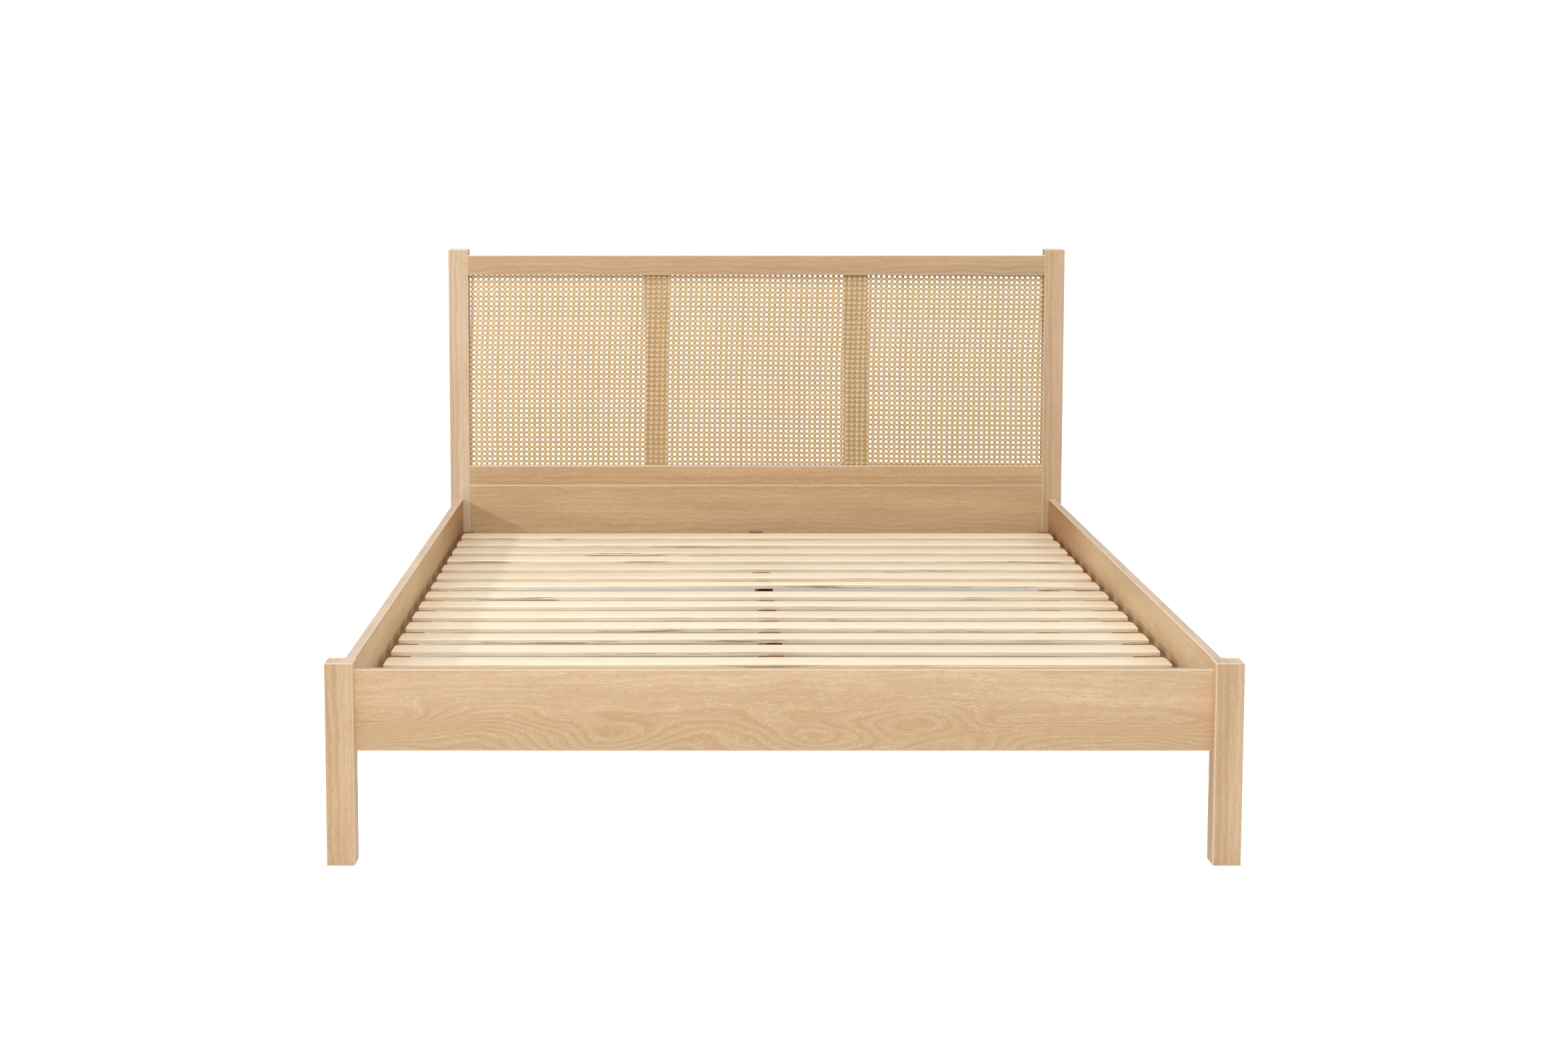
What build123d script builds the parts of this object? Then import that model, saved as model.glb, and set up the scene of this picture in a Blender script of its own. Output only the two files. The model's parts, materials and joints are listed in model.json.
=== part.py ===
from build123d import *
import os

os.makedirs("parts", exist_ok=True)

# King-size bed frame with a cane headboard. Millimetres. The origin is on the floor under the
# middle of the bed, +Y runs from the foot to the head, +X to the right and +Z up.

# ---------------------------------------------------------------- driving dimensions
LENGTH = 2100.0
WIDTH = 1600.0
HEAD_WIDTH = 1568.0
POST = 50.0
HEAD_HEIGHT = 1000.0
FOOT_HEIGHT = 360.0

BOARD = 18.0
BOARD_BOTTOM = 200.0
RAIL_INSET = 2.0

FOOTBOARD_TOP = 345.0
FOOTBOARD_SETBACK = 20.0

FRAME_THICKNESS = 25.0
TOP_RAIL_TOP = 985.0
FRAME_RAIL = 50.0
LOWER_RAIL_TOP = 446.0
UPRIGHT_WIDTH = 60.0
UPRIGHT_THICKNESS = 13.0

CANE_THICKNESS = 1.6
CANE_SETBACK = 10.0
GROOVE_WIDTH = 4.0
GROOVE_DEPTH = 8.0

SLAT_COUNT = 16
SLAT_LENGTH = 1484.0
SLAT_WIDTH = 68.0
SLAT_THICKNESS = 9.0
SLAT_TOP = 285.0
SLAT_PITCH = 118.75
SLAT_HEAD_GAP = 89.0
SLAT_EASE = 1.5

LEDGER_WIDTH = 30.0
LEDGER_HEIGHT = 35.0
LEDGER_END_GAP = 10.0
BEAM_WIDTH = 35.0
BEAM_HEIGHT = 40.0
BEAM_END_GAP = 1.5
BRACKET_PLATE = 2.0
BRACKET_REACH = 26.0
BRACKET_WING = 17.0
BRACKET_TOP_GAP = 4.0
BRACKET_CUP_STEP = 8.0
BRACKET_SCREW_MARGIN = 9.0
BRACKET_SCREW_RADIUS = 1.75
BRACKET_SCREW_LENGTH = 16.0

LEG_SECTION = 35.0
LEG_BOTTOM = 24.0
LEG_BORE_RADIUS = 5.0
LEG_BORE_DEPTH = 45.0
PAD_RADIUS = 17.0
PAD_HEIGHT = 8.0
PAD_CHAMFER = 3.0
PAD_ROUND = 0.8
HEXAGON_RADIUS = 6.5
HEXAGON_HEIGHT = 3.0
STUD_RADIUS = 4.0
STUD_TOP = 52.0
STUD_CLEARANCE = 0.3
NUT_RADIUS = 6.5
NUT_LENGTH = 14.0
NUT_FLANGE_RADIUS = 10.0
NUT_FLANGE_THICKNESS = 1.0
HANGER_BOLT_RADIUS = 4.0
HANGER_BOLT_LENGTH = 75.0
HANGER_BOLT_IN_LEG = 45.0

DOWEL_RADIUS = 4.0
DOWEL_LENGTH = 30.0
CAM_RADIUS = 7.5
CAM_DEPTH = 12.5
CAM_FROM_END = 34.0
CAM_SLOT_LENGTH = 9.0
CAM_SLOT_WIDTH = 1.6
CAM_SLOT_DEPTH = 1.5
CAM_BOLT_RADIUS = 3.0
CAM_BOLT_THREAD = 11.0
CAM_BOLT_BITE = 4.5
PIN_RADIUS = 3.0
PIN_LENGTH = 24.0
PIN_SPACING = 36.0
FRAME_DOWEL_RISE = 11.0
FRAME_CAM_DROP = 9.0
END_DOWEL_MARGIN = 25.0
HEADBOARD_CAM_MARGIN = 60.0
LOWER_BOARD_DOWELS = 4
LOWER_BOARD_DOWEL_PITCH = 350.0
PLATE_THICKNESS = 2.5
PLATE_WIDTH = 14.0
PLATE_HEIGHT = 110.0
HOOK_THICKNESS = 2.5
HOOK_REACH = 13.0
HOOK_HEIGHT = 16.0
HOOK_DROP = 8.0
HOOK_SPACING = 44.0
HOOK_PLAY = 0.4
PLATE_SCREW_SPACING = 94.0
RAIL_SCREW_LENGTH = 35.0
POST_SCREW_LENGTH = 25.0
SCREW_RADIUS = 2.0
SCREW_HEAD_RADIUS = 4.0
SCREW_HEAD_DEPTH = 2.4
SCREW_TIP_RADIUS = 0.3
SCREW_DRIVE_SPAN = 4.4
SCREW_DRIVE_WIDTH = 0.9
SCREW_DRIVE_DEPTH = 0.8
STAPLE_CROWN = 9.0
STAPLE_WIRE = 1.2
STAPLE_DEPTH = 20.0
STAPLE_FROM_END = 9.0
LEDGER_SCREWS = 7
LEDGER_SCREW_PITCH = 300.0
LEDGER_SCREW_LENGTH = 44.0

# ---------------------------------------------------------------- derived positions
HEAD_PLANE = LENGTH / 2 - POST
FOOT_PLANE = -LENGTH / 2 + POST
POST_INNER_FOOT = WIDTH / 2 - POST
POST_INNER_HEAD = HEAD_WIDTH / 2 - POST
RAIL_INNER = POST_INNER_FOOT + RAIL_INSET
RAIL_CENTRE = RAIL_INNER + BOARD / 2
CANE_FRONT = HEAD_PLANE + CANE_SETBACK
CANE_BACK = CANE_FRONT + CANE_THICKNESS
OPENING_TOP = TOP_RAIL_TOP - FRAME_RAIL
LOWER_RAIL_BOTTOM = LOWER_RAIL_TOP - FRAME_RAIL
FRAME_BACK = HEAD_PLANE + FRAME_THICKNESS
UPRIGHT_CENTRE = (POST_INNER_HEAD * 2 - 2 * UPRIGHT_WIDTH) / 6 + UPRIGHT_WIDTH / 2
FOOTBOARD_FRONT = -LENGTH / 2 + FOOTBOARD_SETBACK
FOOTBOARD_BACK = FOOTBOARD_FRONT + BOARD
SLAT_BOTTOM = SLAT_TOP - SLAT_THICKNESS
BEAM_BOTTOM = SLAT_BOTTOM - BEAM_HEIGHT
SIDES = {"left": -1, "right": 1}

nodes = {}
hollows = {}


# ---------------------------------------------------------------- shared shapes
def add(node, solid, hollow=None):
    """Adds a solid to a node, with the hollow that it needs in the pieces it sits in."""
    nodes.setdefault(node, []).append(solid)
    hollows.setdefault(node, []).append(hollow or solid)


def block(x, y, z):
    """A box from its low and high limits along X, Y and Z."""
    size = [high - low for low, high in (x, y, z)]
    middle = [(high + low) / 2 for low, high in (x, y, z)]
    return Pos(*middle) * Box(*size)


def mirrored_range(side, inner, outer):
    """The limits along X of something that lies between two distances from the middle."""
    return tuple(sorted((side * inner, side * outer)))


def rod(start, direction, radius, length):
    """A round bar from a start point along a direction."""
    plane = Plane(origin=start, z_dir=direction)
    return plane * Cylinder(radius, length, align=(Align.CENTER, Align.CENTER, Align.MIN))


def countersunk_screw(start, direction, length, radius=SCREW_RADIUS):
    """A wood screw whose flat head lies in the surface at the start point, and its hollow."""
    plane = Plane(origin=start, z_dir=direction)
    from_head = (Align.CENTER, Align.CENTER, Align.MIN)
    head_radius = SCREW_HEAD_RADIUS * radius / SCREW_RADIUS
    tip_length = 2 * radius
    shank_length = length - SCREW_HEAD_DEPTH - tip_length
    head = Cone(head_radius, radius, SCREW_HEAD_DEPTH, align=from_head)
    shank = Pos(0, 0, SCREW_HEAD_DEPTH) * Cylinder(radius, shank_length, align=from_head)
    tip = Cone(radius, SCREW_TIP_RADIUS, tip_length, align=from_head)
    hollow = head + shank + Pos(0, 0, length - tip_length) * tip
    drive = cross(SCREW_DRIVE_SPAN, SCREW_DRIVE_WIDTH, SCREW_DRIVE_DEPTH)
    return plane * (hollow - drive), plane * hollow


def cross(span, width, depth):
    """A crossed slot that reaches down and up from the XY plane by its depth."""
    return Box(span, width, 2 * depth) + Box(width, span, 2 * depth)


def apart(first, second):
    """Whether two bounding boxes have a gap between them."""
    return any(
        getattr(first.min, axis) > getattr(second.max, axis)
        or getattr(first.max, axis) < getattr(second.min, axis)
        for axis in "XYZ"
    )


def cut_for(node, fastener_nodes):
    """Cuts the hollows in which the solids of other nodes sit."""
    body = nodes[node][0]
    limits = body.bounding_box()
    for fastener_node in fastener_nodes:
        for hollow in hollows[fastener_node]:
            if not apart(hollow.bounding_box(), limits):
                body = body - hollow
    nodes[node] = [body]


# ---------------------------------------------------------------- posts and boards
def make_posts():
    for name, side in SIDES.items():
        head_x = mirrored_range(side, POST_INNER_HEAD, HEAD_WIDTH / 2)
        foot_x = mirrored_range(side, POST_INNER_FOOT, WIDTH / 2)
        head = block(head_x, (HEAD_PLANE, LENGTH / 2), (0, HEAD_HEIGHT))
        groove_x = mirrored_range(side, POST_INNER_HEAD, POST_INNER_HEAD + GROOVE_DEPTH)
        groove_z = (LOWER_RAIL_TOP - GROOVE_DEPTH, OPENING_TOP + GROOVE_DEPTH)
        head -= block(groove_x, (CANE_FRONT, CANE_FRONT + GROOVE_WIDTH), groove_z)
        add(f"head_post_{name}", head)
        add(f"foot_post_{name}", block(foot_x, (-LENGTH / 2, FOOT_PLANE), (0, FOOT_HEIGHT)))


def make_headboard():
    across = (-POST_INNER_HEAD, POST_INNER_HEAD)
    through = (HEAD_PLANE, FRAME_BACK)
    groove_y = (CANE_FRONT, CANE_FRONT + GROOVE_WIDTH)
    top = block(across, through, (OPENING_TOP, TOP_RAIL_TOP))
    top -= block(across, groove_y, (OPENING_TOP, OPENING_TOP + GROOVE_DEPTH))
    lower = block(across, through, (LOWER_RAIL_BOTTOM, LOWER_RAIL_TOP))
    lower -= block(across, groove_y, (LOWER_RAIL_TOP - GROOVE_DEPTH, LOWER_RAIL_TOP))
    board_y = (HEAD_PLANE, HEAD_PLANE + BOARD)
    add("headboard_top_rail", top)
    add("headboard_lower_rail", lower)
    add("headboard_lower_board", block(across, board_y, (BOARD_BOTTOM, LOWER_RAIL_BOTTOM)))
    upright_y = (FRAME_BACK - UPRIGHT_THICKNESS, FRAME_BACK)
    for name, side in SIDES.items():
        middle = side * UPRIGHT_CENTRE
        upright_x = (middle - UPRIGHT_WIDTH / 2, middle + UPRIGHT_WIDTH / 2)
        add(f"cane_upright_{name}", block(upright_x, upright_y, (LOWER_RAIL_TOP, OPENING_TOP)))


def make_cane():
    """The cane sheet, tucked into the groove all round, and the reed spline behind its edges."""
    half = POST_INNER_HEAD + GROOVE_DEPTH
    low = LOWER_RAIL_TOP - GROOVE_DEPTH
    high = OPENING_TOP + GROOVE_DEPTH
    add("cane_sheet", block((-half, half), (CANE_FRONT, CANE_BACK), (low, high)))
    spline_y = (CANE_BACK, CANE_FRONT + GROOVE_WIDTH)
    for side in SIDES.values():
        spline_x = mirrored_range(side, POST_INNER_HEAD, half)
        add("cane_spline", block(spline_x, spline_y, (low, high)))
    across = (-POST_INNER_HEAD, POST_INNER_HEAD)
    for spline_z in ((low, LOWER_RAIL_TOP), (OPENING_TOP, high)):
        add("cane_spline", block(across, spline_y, spline_z))


def make_footboard():
    across = (-POST_INNER_FOOT, POST_INNER_FOOT)
    through = (FOOTBOARD_FRONT, FOOTBOARD_BACK)
    add("footboard", block(across, through, (BOARD_BOTTOM, FOOTBOARD_TOP)))


def make_side_rails():
    along = (FOOT_PLANE, HEAD_PLANE)
    for name, side in SIDES.items():
        rail_x = mirrored_range(side, RAIL_INNER, RAIL_INNER + BOARD)
        ledger_x = mirrored_range(side, RAIL_INNER - LEDGER_WIDTH, RAIL_INNER)
        add(f"side_rail_{name}", block(rail_x, along, (BOARD_BOTTOM, FOOT_HEIGHT)))
        ledger_y = (FOOT_PLANE + LEDGER_END_GAP, HEAD_PLANE - LEDGER_END_GAP)
        ledger_z = (SLAT_BOTTOM - LEDGER_HEIGHT, SLAT_BOTTOM)
        add(f"side_ledger_{name}", block(ledger_x, ledger_y, ledger_z))


# ---------------------------------------------------------------- slats
def slat_middle(index):
    """The middle of a slat along Y, counted from the head."""
    return HEAD_PLANE - SLAT_HEAD_GAP - SLAT_WIDTH / 2 - index * SLAT_PITCH


def make_slats():
    for index in range(SLAT_COUNT):
        y = slat_middle(index)
        slat = Box(SLAT_LENGTH, SLAT_WIDTH, SLAT_THICKNESS)
        slat = fillet(slat.edges().filter_by(Axis.X), SLAT_EASE)
        add(f"slat_{index + 1:02d}", Pos(0, y, SLAT_TOP - SLAT_THICKNESS / 2) * slat)
        for side in SIDES.values():
            add("slat_staples", make_staple(side * (SLAT_LENGTH / 2 - STAPLE_FROM_END), y))


def make_staple(x, y):
    """A wire staple driven flush through a slat into the ledger under it."""
    half_crown = STAPLE_CROWN / 2
    half_wire = STAPLE_WIRE / 2
    deep = (SLAT_TOP - STAPLE_DEPTH, SLAT_TOP)
    flat = (y - half_wire, y + half_wire)
    crown = block((x - half_crown, x + half_crown), flat, (SLAT_TOP - STAPLE_WIRE, SLAT_TOP))
    first = block((x - half_crown, x - half_crown + STAPLE_WIRE), flat, deep)
    second = block((x + half_crown - STAPLE_WIRE, x + half_crown), flat, deep)
    return crown + first + second


# ---------------------------------------------------------------- middle beam and its leg
def make_beam():
    end_room = BRACKET_PLATE + BEAM_END_GAP
    along = (FOOTBOARD_BACK + end_room, HEAD_PLANE - end_room)
    across = (-BEAM_WIDTH / 2, BEAM_WIDTH / 2)
    add("centre_beam", block(across, along, (BEAM_BOTTOM, SLAT_BOTTOM)))


def make_beam_bracket(name, wall, inward):
    """A folded steel cup screwed to a board, open on top for the end of the beam."""
    half = BEAM_WIDTH / 2
    outer = half + BRACKET_PLATE
    wing = outer + BRACKET_WING
    floor = BEAM_BOTTOM - BRACKET_PLATE
    top = SLAT_BOTTOM - BRACKET_TOP_GAP
    reach = tuple(sorted((wall, wall + inward * BRACKET_REACH)))
    plate_y = tuple(sorted((wall, wall + inward * BRACKET_PLATE)))
    bracket = block((-wing, wing), plate_y, (floor, top))
    bracket += block((-outer, outer), reach, (floor, top - BRACKET_CUP_STEP))
    beam_y = tuple(sorted((wall + inward * BRACKET_PLATE, wall + inward * BRACKET_REACH)))
    bracket -= block((-half, half), beam_y, (BEAM_BOTTOM, top))
    screw_x = wing - BRACKET_SCREW_MARGIN
    for x in (-screw_x, screw_x):
        for z in (floor + BRACKET_SCREW_MARGIN, top - BRACKET_SCREW_MARGIN):
            start = (x, wall + inward * BRACKET_PLATE, z)
            screw, hollow = countersunk_screw(
                start, (0, -inward, 0), BRACKET_SCREW_LENGTH, radius=BRACKET_SCREW_RADIUS
            )
            bracket -= hollow
            add("bracket_screws", screw, hollow)
    add(name, bracket)


def make_centre_leg():
    """A square leg on a hanger bolt, with a threaded insert in its lower end."""
    half = LEG_SECTION / 2
    up = (0, 0, 1)
    leg = block((-half, half), (-half, half), (LEG_BOTTOM, BEAM_BOTTOM))
    leg -= rod((0, 0, LEG_BOTTOM), up, LEG_BORE_RADIUS, LEG_BORE_DEPTH)
    add("centre_leg", leg)
    bolt_start = (0, 0, BEAM_BOTTOM - HANGER_BOLT_IN_LEG)
    add("leg_hanger_bolt", rod(bolt_start, up, HANGER_BOLT_RADIUS, HANGER_BOLT_LENGTH))
    flange_start = (0, 0, LEG_BOTTOM - NUT_FLANGE_THICKNESS)
    barrel = rod((0, 0, LEG_BOTTOM), up, NUT_RADIUS, NUT_LENGTH)
    flange = rod(flange_start, up, NUT_FLANGE_RADIUS, NUT_FLANGE_THICKNESS)
    bore = rod(flange_start, up, STUD_RADIUS + STUD_CLEARANCE, NUT_LENGTH + NUT_FLANGE_THICKNESS)
    add("leg_insert_nut", barrel + flange - bore, barrel)


def make_levelling_foot():
    """A pad on a threaded stud that screws up into the leg."""
    pad = rod((0, 0, 0), (0, 0, 1), PAD_RADIUS, PAD_HEIGHT)
    pad = chamfer(pad.edges().group_by(Axis.Z)[-1], PAD_CHAMFER)
    pad = fillet(pad.edges().group_by(Axis.Z)[0], PAD_ROUND)
    stud_bottom = PAD_HEIGHT / 2
    stud = rod((0, 0, stud_bottom), (0, 0, 1), STUD_RADIUS, STUD_TOP - stud_bottom)
    hexagon = extrude(RegularPolygon(HEXAGON_RADIUS, 6), HEXAGON_HEIGHT)
    add("foot_stud", stud + Pos(0, 0, PAD_HEIGHT) * hexagon)
    add("foot_pad", pad - stud)


# ---------------------------------------------------------------- joints between the boards
def make_end_joint(family, board_y, post_inner, dowel_z, cam_z):
    """Dowels, cam bolts and cam discs at both ends of a board that butts against the posts."""
    board_front, board_back = board_y
    middle = (board_front + board_back) / 2
    for side in SIDES.values():
        for z in dowel_z:
            start = (side * (post_inner - DOWEL_LENGTH / 2), middle, z)
            add(f"{family}_dowels", rod(start, (side, 0, 0), DOWEL_RADIUS, DOWEL_LENGTH))
        for z in cam_z:
            cam_x = side * (post_inner - CAM_FROM_END)
            bolt_start = (cam_x + side * CAM_BOLT_BITE, middle, z)
            bolt_length = CAM_FROM_END - CAM_BOLT_BITE + CAM_BOLT_THREAD
            bolt = rod(bolt_start, (side, 0, 0), CAM_BOLT_RADIUS, bolt_length)
            add(f"{family}_cam_bolts", bolt)
            disc = rod((cam_x, board_back, z), (0, -1, 0), CAM_RADIUS, CAM_DEPTH)
            slot = cross(CAM_SLOT_LENGTH, CAM_SLOT_WIDTH, CAM_SLOT_DEPTH)
            slot = Plane(origin=(cam_x, board_back, z), z_dir=(0, 1, 0)) * slot
            add(f"{family}_cams", disc - slot - bolt, disc)


def make_board_joints():
    """The joints of the headboard's rails and lower board, and of the footboard, with the posts."""
    frame_y = (HEAD_PLANE, FRAME_BACK)
    top_middle = (OPENING_TOP + GROOVE_DEPTH + TOP_RAIL_TOP) / 2
    low_middle = (LOWER_RAIL_BOTTOM + LOWER_RAIL_TOP - GROOVE_DEPTH) / 2
    for middle in (top_middle, low_middle):
        dowel_z = [middle + FRAME_DOWEL_RISE]
        cam_z = [middle - FRAME_CAM_DROP]
        make_end_joint("headboard", frame_y, POST_INNER_HEAD, dowel_z, cam_z)
    board_y = (HEAD_PLANE, HEAD_PLANE + BOARD)
    dowel_z = [BOARD_BOTTOM + END_DOWEL_MARGIN, LOWER_RAIL_BOTTOM - END_DOWEL_MARGIN]
    cam_z = [BOARD_BOTTOM + HEADBOARD_CAM_MARGIN, LOWER_RAIL_BOTTOM - HEADBOARD_CAM_MARGIN]
    make_end_joint("headboard", board_y, POST_INNER_HEAD, dowel_z, cam_z)
    board_y = (FOOTBOARD_FRONT, FOOTBOARD_BACK)
    dowel_z = [BOARD_BOTTOM + END_DOWEL_MARGIN, FOOTBOARD_TOP - END_DOWEL_MARGIN]
    cam_z = [(BOARD_BOTTOM + FOOTBOARD_TOP) / 2]
    make_end_joint("footboard", board_y, POST_INNER_FOOT, dowel_z, cam_z)


def make_lower_board_dowels():
    """Upright dowels between the headboard's lower rail and the board under it."""
    for step in range(LOWER_BOARD_DOWELS):
        x = (step - (LOWER_BOARD_DOWELS - 1) / 2) * LOWER_BOARD_DOWEL_PITCH
        start = (x, HEAD_PLANE + BOARD / 2, LOWER_RAIL_BOTTOM - DOWEL_LENGTH / 2)
        add("headboard_dowels", rod(start, (0, 0, 1), DOWEL_RADIUS, DOWEL_LENGTH))


def make_upright_pins():
    """Two pins in each end of the uprights behind the cane."""
    y = FRAME_BACK - UPRIGHT_THICKNESS / 2
    for side in SIDES.values():
        for offset in (-PIN_SPACING / 2, PIN_SPACING / 2):
            for z in (LOWER_RAIL_TOP, OPENING_TOP):
                start = (side * UPRIGHT_CENTRE + offset, y, z - PIN_LENGTH / 2)
                add("upright_pins", rod(start, (0, 0, 1), PIN_RADIUS, PIN_LENGTH))


def make_rail_joint(x, plane, outward):
    """A hook plate on a rail's end and the catch plate in the post that it drops into."""
    middle = (BOARD_BOTTOM + FOOT_HEIGHT) / 2
    plate_x = (x - PLATE_WIDTH / 2, x + PLATE_WIDTH / 2)
    plate_z = (middle - PLATE_HEIGHT / 2, middle + PLATE_HEIGHT / 2)
    hook_x = (x - HOOK_THICKNESS / 2, x + HOOK_THICKNESS / 2)
    slot_x = (x - HOOK_THICKNESS / 2 - HOOK_PLAY, x + HOOK_THICKNESS / 2 + HOOK_PLAY)
    rail_y = tuple(sorted((plane, plane - outward * PLATE_THICKNESS)))
    post_y = tuple(sorted((plane, plane + outward * PLATE_THICKNESS)))
    neck_y = tuple(sorted((plane, plane + outward * HOOK_REACH)))
    nose_start = plane + outward * (PLATE_THICKNESS + HOOK_PLAY)
    nose_y = tuple(sorted((nose_start, plane + outward * HOOK_REACH)))
    hook_plate = block(plate_x, rail_y, plate_z)
    catch_plate = block(plate_x, post_y, plate_z)
    mortises = catch_plate
    for z in (middle - HOOK_SPACING / 2, middle + HOOK_SPACING / 2):
        hook_plate += block(hook_x, neck_y, (z, z + HOOK_HEIGHT))
        hook_plate += block(hook_x, nose_y, (z - HOOK_DROP, z))
        slot_z = (z - HOOK_DROP - HOOK_PLAY, z + HOOK_HEIGHT + HOOK_PLAY)
        catch_plate -= block(slot_x, post_y, (z, slot_z[1]))
        mortises += block(slot_x, neck_y, slot_z)
    for z in (middle - PLATE_SCREW_SPACING / 2, middle + PLATE_SCREW_SPACING / 2):
        start = (x, plane, z)
        rail_screw, rail_hollow = countersunk_screw(start, (0, -outward, 0), RAIL_SCREW_LENGTH)
        post_screw, post_hollow = countersunk_screw(start, (0, outward, 0), POST_SCREW_LENGTH)
        hook_plate -= rail_hollow
        catch_plate -= post_hollow
        add("hook_plate_screws", rail_screw, rail_hollow)
        add("hook_plate_screws", post_screw, post_hollow)
    add("rail_hook_plates", hook_plate)
    add("post_catch_plates", catch_plate, mortises)


def make_rail_joints():
    for side in SIDES.values():
        for plane, outward in ((HEAD_PLANE, 1), (FOOT_PLANE, -1)):
            make_rail_joint(side * RAIL_CENTRE, plane, outward)


def make_ledger_screws():
    for side in SIDES.values():
        for step in range(LEDGER_SCREWS):
            y = (step - (LEDGER_SCREWS - 1) / 2) * LEDGER_SCREW_PITCH + SLAT_PITCH / 2
            start = (side * (RAIL_INNER - LEDGER_WIDTH), y, SLAT_BOTTOM - LEDGER_HEIGHT / 2)
            screw, hollow = countersunk_screw(start, (side, 0, 0), LEDGER_SCREW_LENGTH)
            add("ledger_screws", screw, hollow)


# ---------------------------------------------------------------- assembly
def cut_seats():
    """Cuts each wooden piece for the fasteners that sit in it."""
    rail_joint = ["post_catch_plates", "rail_hook_plates", "hook_plate_screws"]
    headboard_joint = ["headboard_dowels", "headboard_cam_bolts", "headboard_cams"]
    footboard_joint = ["footboard_dowels", "footboard_cam_bolts", "footboard_cams"]
    for name in SIDES:
        cut_for(f"head_post_{name}", rail_joint + headboard_joint)
        cut_for(f"foot_post_{name}", rail_joint + footboard_joint)
        cut_for(f"side_rail_{name}", rail_joint + ["ledger_screws"])
        cut_for(f"side_ledger_{name}", ["ledger_screws", "slat_staples"])
        cut_for(f"cane_upright_{name}", ["upright_pins"])
    for rail in ("headboard_top_rail", "headboard_lower_rail"):
        cut_for(rail, headboard_joint + ["upright_pins"])
    cut_for("headboard_lower_board", headboard_joint + ["bracket_screws"])
    cut_for("footboard", footboard_joint + ["bracket_screws"])
    cut_for("centre_beam", ["leg_hanger_bolt"])
    cut_for("centre_leg", ["leg_hanger_bolt", "leg_insert_nut"])
    for index in range(SLAT_COUNT):
        cut_for(f"slat_{index + 1:02d}", ["slat_staples"])


def write_parts():
    for name, shapes in nodes.items():
        solids = [solid for shape in shapes for solid in shape.solids()]
        export_step(Compound(children=solids, label=name), f"parts/{name}.step")


make_posts()
make_headboard()
make_cane()
make_footboard()
make_side_rails()
make_slats()
make_beam()
make_beam_bracket("beam_bracket_head", HEAD_PLANE, -1)
make_beam_bracket("beam_bracket_foot", FOOTBOARD_BACK, 1)
make_centre_leg()
make_levelling_foot()
make_board_joints()
make_lower_board_dowels()
make_upright_pins()
make_rail_joints()
make_ledger_screws()
cut_seats()
write_parts()
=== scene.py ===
"""Looks of the wooden bed frame: boards, slats, woven cane, fittings, floor, lights and camera."""

import json
import math
import random

import bmesh
import bpy
import numpy as np
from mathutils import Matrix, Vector


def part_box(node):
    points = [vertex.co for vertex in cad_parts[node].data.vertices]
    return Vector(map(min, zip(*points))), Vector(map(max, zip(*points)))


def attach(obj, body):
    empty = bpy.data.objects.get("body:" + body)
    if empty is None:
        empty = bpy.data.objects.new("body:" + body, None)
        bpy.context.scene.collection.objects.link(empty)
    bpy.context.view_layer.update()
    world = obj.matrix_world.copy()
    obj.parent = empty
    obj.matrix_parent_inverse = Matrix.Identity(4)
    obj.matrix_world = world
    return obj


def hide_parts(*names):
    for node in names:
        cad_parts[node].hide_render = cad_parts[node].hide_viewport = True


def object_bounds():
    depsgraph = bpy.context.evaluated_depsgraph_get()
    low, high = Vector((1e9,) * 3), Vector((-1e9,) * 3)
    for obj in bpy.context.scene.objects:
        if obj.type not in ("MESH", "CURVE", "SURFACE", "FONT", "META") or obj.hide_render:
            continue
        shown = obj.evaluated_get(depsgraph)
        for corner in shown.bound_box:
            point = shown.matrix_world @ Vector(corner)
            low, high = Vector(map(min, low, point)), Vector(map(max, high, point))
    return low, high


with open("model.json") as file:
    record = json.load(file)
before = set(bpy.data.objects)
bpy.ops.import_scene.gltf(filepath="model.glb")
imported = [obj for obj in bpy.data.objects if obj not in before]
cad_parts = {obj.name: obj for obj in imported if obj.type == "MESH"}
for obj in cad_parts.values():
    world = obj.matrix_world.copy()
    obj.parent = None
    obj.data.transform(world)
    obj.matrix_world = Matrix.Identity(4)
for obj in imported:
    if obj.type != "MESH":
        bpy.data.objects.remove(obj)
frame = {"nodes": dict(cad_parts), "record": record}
cad_low, cad_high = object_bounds()

MM = 0.001
SIDES = ("left", "right")
FRAME_BODY = "frame"

# Boards
EDGE_EASE = 1.6 * MM

# Slats
SLATS = sorted(name for name in frame["nodes"] if name.startswith("slat_") and name[5:].isdigit())
SLAT_PITCH = 118.75 * MM
SLAT_START = 877.0 * MM
SLAT_STEPS = 36
SLAT_ROUND = 1.3 * MM
SLAT_LOWER_ROUND = 0.4 * MM
SLAT_END_ROUND = 0.7 * MM
SLAT_CORNER_STEPS = (2.0 * MM, 4.0 * MM, 7.0 * MM)
SLAT_CORNER_CUT = 14.0 * MM
SLAT_LARGEST_BOW = 3.0 * MM
SLAT_USUAL_ROLL = 1.0 * MM
SLAT_TONE_RANGE = (0.95, 1.05)
# Where the painted shade at each slat's ends begins and ends along X, in metres, and its colour
SLAT_SHADED_ENDS_X = (0.64, 0.73)
SLAT_ENDS_PAINTED_SHADE = (0.88, 0.82, 0.76)
WARPED_SLATS = {"slat_07": 5.0 * MM, "slat_09": 2.0 * MM, "slat_12": 2.5 * MM}
SLAT_WAVE = 0.4 * MM
STAPLE_WIRE = 0.7 * MM
STAPLE_HALF_CROWN = 4.0 * MM
STAPLE_SINK = 0.55 * MM
STAPLE_SHOULDER_RISE = 0.05 * MM

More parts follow.
